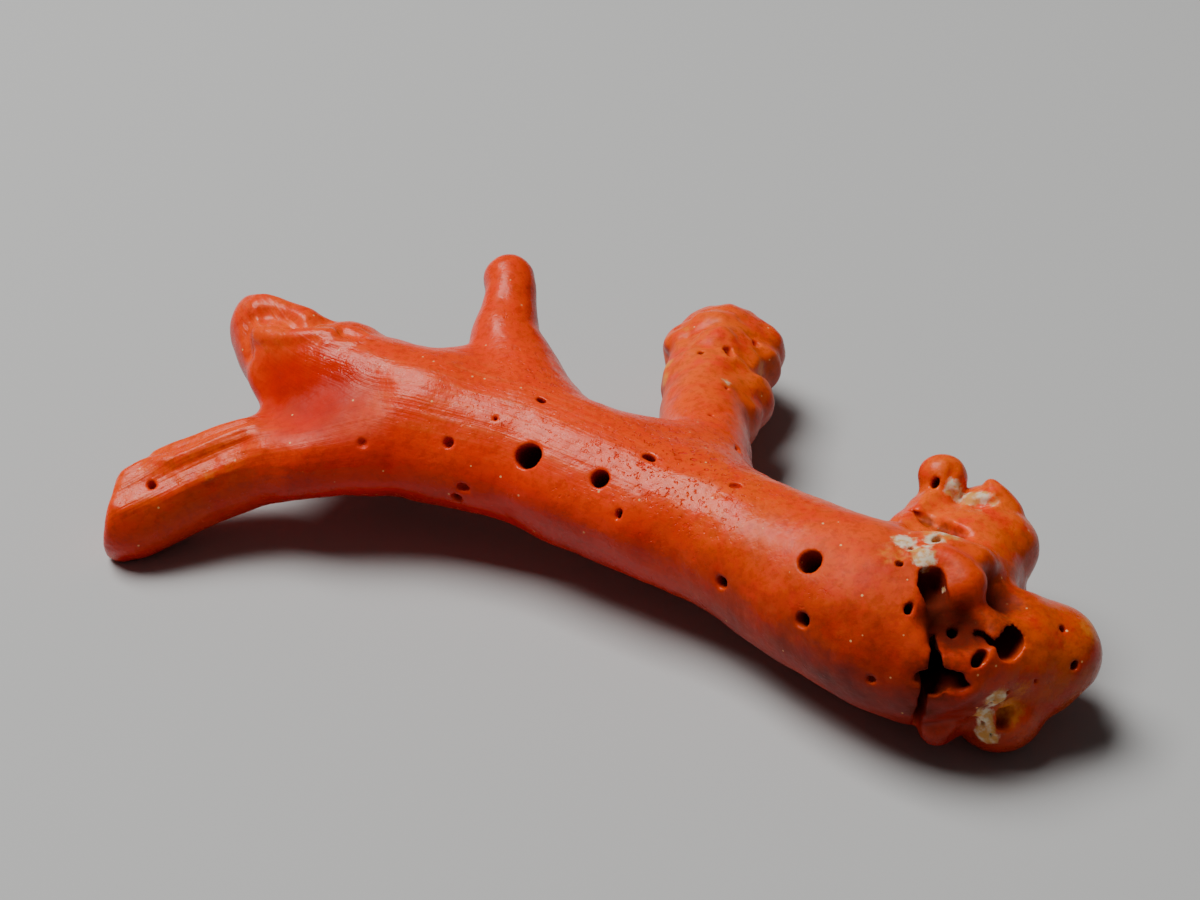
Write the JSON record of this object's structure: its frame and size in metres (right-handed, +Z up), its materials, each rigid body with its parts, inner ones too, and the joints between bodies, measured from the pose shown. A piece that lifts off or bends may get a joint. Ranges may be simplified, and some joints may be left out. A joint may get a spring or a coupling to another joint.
{
  "type": "red coral branch",
  "caption": "Polished branch of red coral lying on its side: a bored, lumpy base, a curved trunk, side branches and a broken fork.",
  "frame": {"origin": "middle of the footprint, on the surface that the coral lies on", "axes": "+X along the branch from the leg's end to the base, +Y towards the side branches, +Z up"},
  "size_m": [0.0467, 0.0316, 0.0103],
  "materials": {
    "red_coral": "waxy polish over fine growth lines and pin-pricks, with cream lime crust in the hollows of the base"
  },
  "bodies": {
    "root": {"trunk": "red_coral", "stump": "red_coral", "leg": "red_coral", "slim_twig": "red_coral", "knobby_branch": "red_coral", "base": "red_coral"}
  },
  "joints": []
}
